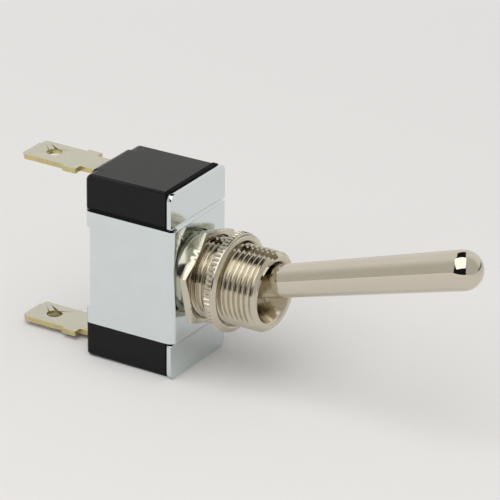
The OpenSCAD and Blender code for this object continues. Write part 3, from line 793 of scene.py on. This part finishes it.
def studio_world(studio):
    """Pale walls for the camera; polished metal also sees the dark opening of the light tent."""
    world = bpy.data.worlds.new("Studio")
    world.use_nodes = True
    tree, link = world.node_tree, world.node_tree.links.new
    tree.nodes.clear()
    out = node_in(tree, "ShaderNodeOutputWorld")
    rays = node_in(tree, "ShaderNodeLightPath")
    place = node_in(tree, "ShaderNodeTexCoord")

    def towards(direction):
        dot = node_in(tree, "ShaderNodeVectorMath", operation="DOT_PRODUCT")
        link(place.outputs["Generated"], dot.inputs[0])
        dot.inputs[1].default_value = direction
        return dot.outputs["Value"]

    def ramp(value, start, end):
        step = node_in(
            tree, "ShaderNodeMapRange", interpolation_type="SMOOTHSTEP", From_Min=start, From_Max=end,
        )
        link(value, step.inputs["Value"])
        return step.outputs["Result"]

    def combine(operation, first, second):
        made = node_in(tree, "ShaderNodeMath", operation=operation)
        for socket, value in zip(made.inputs, (first, second)):
            if isinstance(value, (int, float)):
                socket.default_value = value
            else:
                link(value, socket)
        return made.outputs[0]

    def blend(factor, first, second):
        made = node_in(tree, "ShaderNodeMix", data_type="RGBA")
        link(factor, made.inputs[0])
        for index, value in ((6, first), (7, second)):
            if isinstance(value, tuple):
                made.inputs[index].default_value = value
            else:
                link(value, made.inputs[index])
        return made.outputs[2]

    forward, across, height = towards(TENT_AXIS), towards((0.398, -0.918, 0)), towards((0, 0, 1))
    # The opening runs from the front, over the top, and part of the way down the back
    left = combine("ADD", across, combine("MULTIPLY", forward, 0.28))
    right = combine("SUBTRACT", across, combine("MULTIPLY", forward, 0.17))
    inside = combine("MULTIPLY", ramp(left, -0.63, -0.57), ramp(right, 0.20, 0.14))
    ahead = combine("MULTIPLY", ramp(forward, 0.0, 0.1), ramp(height, -0.06, -0.02))
    above = combine("MAXIMUM", ahead, ramp(height, 0.52, 0.6))
    opening = combine("MULTIPLY", inside, above)
    backdrop = ramp(towards((0.85, 0.53, 0)), -0.1, 0.55)
    walls = blend(backdrop, (0.58, 0.57, 0.53, 1), (0.84, 0.83, 0.81, 1))
    # A dark gap stands low at the right, between the floor and the wall
    gap = combine("MULTIPLY", ramp(towards((0.77, -0.63, 0.03)), 0.88, 0.95), ramp(height, 0.16, 0.08))
    walls = blend(gap, walls, (0.16, 0.20, 0.18, 1))
    tent = blend(opening, walls, (0.012, 0.012, 0.016, 1))
    mirrored = node_in(tree, "ShaderNodeMath", operation="MAXIMUM")
    link(rays.outputs["Is Glossy Ray"], mirrored.inputs[0])
    link(rays.outputs["Is Transmission Ray"], mirrored.inputs[1])
    fill = (studio.tent_light, studio.tent_light * 0.99, studio.tent_light * 0.98, 1)
    seen = blend(rays.outputs["Is Camera Ray"], blend(mirrored.outputs[0], fill, tent), BACKDROP)
    light = node_in(tree, "ShaderNodeBackground")
    link(seen, light.inputs["Color"])
    link(light.outputs[0], out.inputs["Surface"])
    bpy.context.scene.world = world


def studio_floor(studio, height):
    """A pale floor that fades into the backdrop and keeps the switch's shadow."""
    work = bmesh.new()
    bmesh.ops.create_grid(work, x_segments=24, y_segments=24, size=3.0)
    bmesh.ops.translate(work, verts=work.verts, vec=(0, 0, height))
    mesh = bpy.data.meshes.new("studio_floor")
    work.to_mesh(mesh)
    work.free()
    floor = bpy.data.objects.new("studio_floor", mesh)
    bpy.context.scene.collection.objects.link(floor)
    paint = bpy.data.materials.new("Studio floor")
    paint.use_nodes = True
    tree, link = paint.node_tree, paint.node_tree.links.new
    surface = tree.nodes["Principled BSDF"]
    out = tree.nodes["Material Output"]
    surface.inputs["Base Color"].default_value = tuple(studio.floor) + (1,)
    surface.inputs["Roughness"].default_value = 0.9
    surface.inputs["Specular IOR Level"].default_value = 0.1
    place = node_in(tree, "ShaderNodeTexCoord")
    distance = node_in(tree, "ShaderNodeVectorMath", operation="LENGTH")
    link(place.outputs["Object"], distance.inputs[0])
    fade = node_in(tree, "ShaderNodeMapRange", interpolation_type="SMOOTHSTEP", From_Min=0.09, From_Max=0.35)
    link(distance.outputs["Value"], fade.inputs["Value"])
    rays = node_in(tree, "ShaderNodeLightPath")
    seen = node_in(tree, "ShaderNodeMath", operation="MULTIPLY")
    link(fade.outputs["Result"], seen.inputs[0])
    link(rays.outputs["Is Camera Ray"], seen.inputs[1])
    backdrop = node_in(tree, "ShaderNodeEmission")
    backdrop.inputs["Color"].default_value = BACKDROP
    either = node_in(tree, "ShaderNodeMixShader")
    link(seen.outputs[0], either.inputs[0])
    link(surface.outputs[0], either.inputs[1])
    link(backdrop.outputs[0], either.inputs[2])
    link(either.outputs[0], out.inputs["Surface"])
    mesh.materials.append(paint)


def softbox(name, centre, length, width, power, colour):
    """A soft rectangular light that faces the switch."""
    lamp = bpy.data.lights.new(name, "AREA")
    lamp.shape = "RECTANGLE"
    lamp.size = length
    lamp.size_y = width
    lamp.energy = power
    lamp.color = colour
    light = bpy.data.objects.new(name, lamp)
    facing = Vector(centre).normalized()
    along = (TENT_AXIS - facing * TENT_AXIS.dot(facing)).normalized()
    side = facing.cross(along)
    light.matrix_world = Matrix.Translation(centre) @ Matrix((along, side, facing)).transposed().to_4x4()
    bpy.context.scene.collection.objects.link(light)


def studio_camera():
    """A long-lens camera, turned to the side of the switch and raised above it."""
    turn, rise, roll = math.radians(-58.181), math.radians(24.252), math.radians(0.523)
    back = Vector((
        math.sin(turn) * math.cos(rise),
        -math.cos(turn) * math.cos(rise),
        math.sin(rise),
    ))
    level = Vector((math.cos(turn), math.sin(turn), 0))
    upright = back.cross(level)
    right = level * math.cos(roll) + upright * math.sin(roll)
    up = upright * math.cos(roll) - level * math.sin(roll)
    lens = bpy.data.cameras.new("studio_camera")
    lens.lens = 323.54
    lens.sensor_width = 36
    lens.clip_start = 0.01
    lens.clip_end = 20
    camera = bpy.data.objects.new("studio_camera", lens)
    facing = Matrix((right, up, back)).transposed().to_4x4()
    camera.matrix_world = Matrix.Translation((-0.52804, -0.33656, 0.28598)) @ facing
    bpy.context.scene.collection.objects.link(camera)
    return camera


class SWITCH_OT_stage(bpy.types.Operator):
    """Sets the floor, the lights and the camera"""

    bl_idname = "switch.stage"
    bl_label = "Studio"

    def execute(self, context):
        scene, studio = context.scene, context.scene.switch_studio
        scene.view_settings.view_transform = "Standard"
        studio_world(studio)
        studio_floor(studio, CAD_BOX[0].z - 0.02 * MM)
        softbox(
            "overhead_softbox", centre=(-0.44, 0.04, 0.86), length=1.25, width=1.05,
            power=studio.softbox_power, colour=(1.0, 0.99, 0.975),
        )
        scene.camera = studio_camera()
        return {"FINISHED"}


# ---------------------------------------------------------------- add-on


STEPS = ("bracket", "base", "bushing", "nuts", "lever", "terminals", "works", "stage")


class SWITCH_PT_panel(bpy.types.Panel):
    """Lists the steps that dress the toggle switch"""

    bl_idname = "SWITCH_PT_panel"
    bl_label = "Toggle Switch"
    bl_space_type = "VIEW_3D"
    bl_region_type = "UI"
    bl_category = "Toggle Switch"

    def draw(self, context):
        scene = context.scene
        for settings in (scene.switch_shape, scene.switch_finish, scene.switch_studio):
            box = self.layout.box()
            for name in settings.bl_rna.properties.keys():
                if name not in ("rna_type", "name"):
                    box.prop(settings, name)
        for step in STEPS:
            self.layout.operator("switch." + step)


CLASSES = (
    SwitchShape, SwitchFinish, SwitchStudio, SWITCH_OT_bracket, SWITCH_OT_base, SWITCH_OT_bushing,
    SWITCH_OT_nuts, SWITCH_OT_lever, SWITCH_OT_terminals, SWITCH_OT_works, SWITCH_OT_stage, SWITCH_PT_panel,
)


def register():
    for item in CLASSES:
        bpy.utils.register_class(item)
    bpy.types.Scene.switch_shape = PointerProperty(type=SwitchShape)
    bpy.types.Scene.switch_finish = PointerProperty(type=SwitchFinish)
    bpy.types.Scene.switch_studio = PointerProperty(type=SwitchStudio)


def unregister():
    del bpy.types.Scene.switch_studio
    del bpy.types.Scene.switch_finish
    del bpy.types.Scene.switch_shape
    for item in reversed(CLASSES):
        bpy.utils.unregister_class(item)


def main():
    register()
    for step in STEPS:
        getattr(bpy.ops.switch, step)()


if __name__ == "__main__":
    main()
